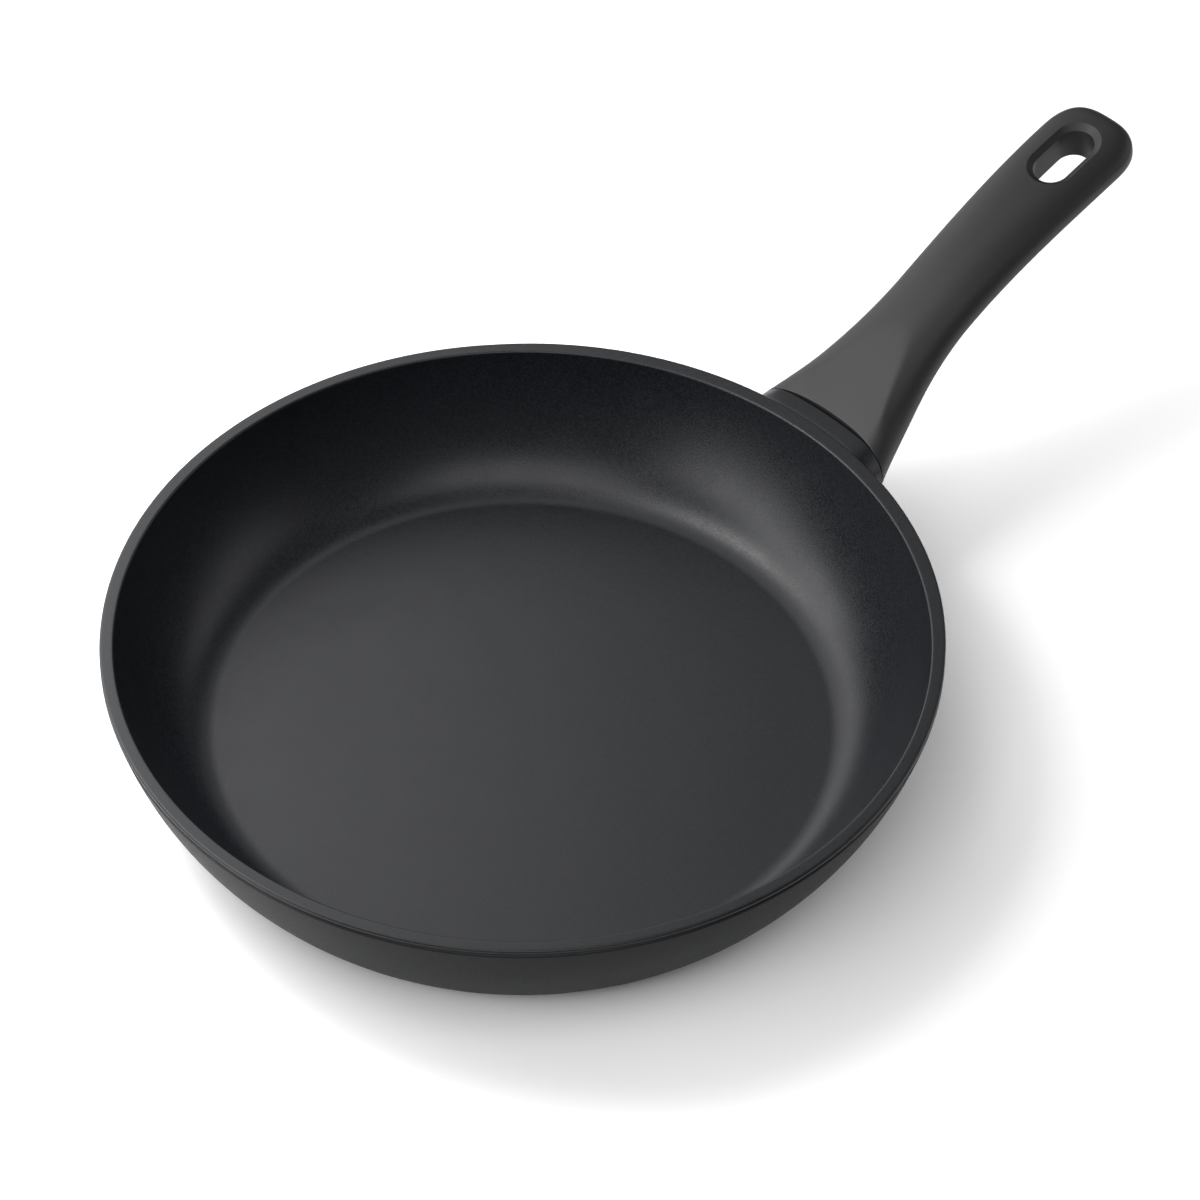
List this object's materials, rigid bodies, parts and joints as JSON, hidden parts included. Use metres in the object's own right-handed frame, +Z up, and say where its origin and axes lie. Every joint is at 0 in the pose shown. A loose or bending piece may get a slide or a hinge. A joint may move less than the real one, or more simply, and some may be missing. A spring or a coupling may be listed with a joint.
{
  "type": "omelette pan",
  "caption": "Round frying pan with gently curved sides, a flat rim, a short cast collar and a fixed moulded handle with a thumb flat and a long hanging slot.",
  "frame": {"origin": "centre of the underside of the base, where the pan stands on the hob", "axes": "+Z up, +X along the handle, +Y to the left seen from the pan towards the handle's tip"},
  "size_m": [0.4319, 0.28, 0.1058],
  "materials": {
    "coating": "cast aluminium under a dark grey non-stick coating, matt with a slight sheen",
    "moulding": "matt black moulded phenolic",
    "stainless": "stamped stainless sheet, flush in the base",
    "zinc": "zinc plated"
  },
  "bodies": {
    "root": {"pan_body": "coating", "induction_plate": "stainless", "grip": "moulding", "grip_screw": "zinc", "spring_washer": "zinc"}
  },
  "joints": []
}
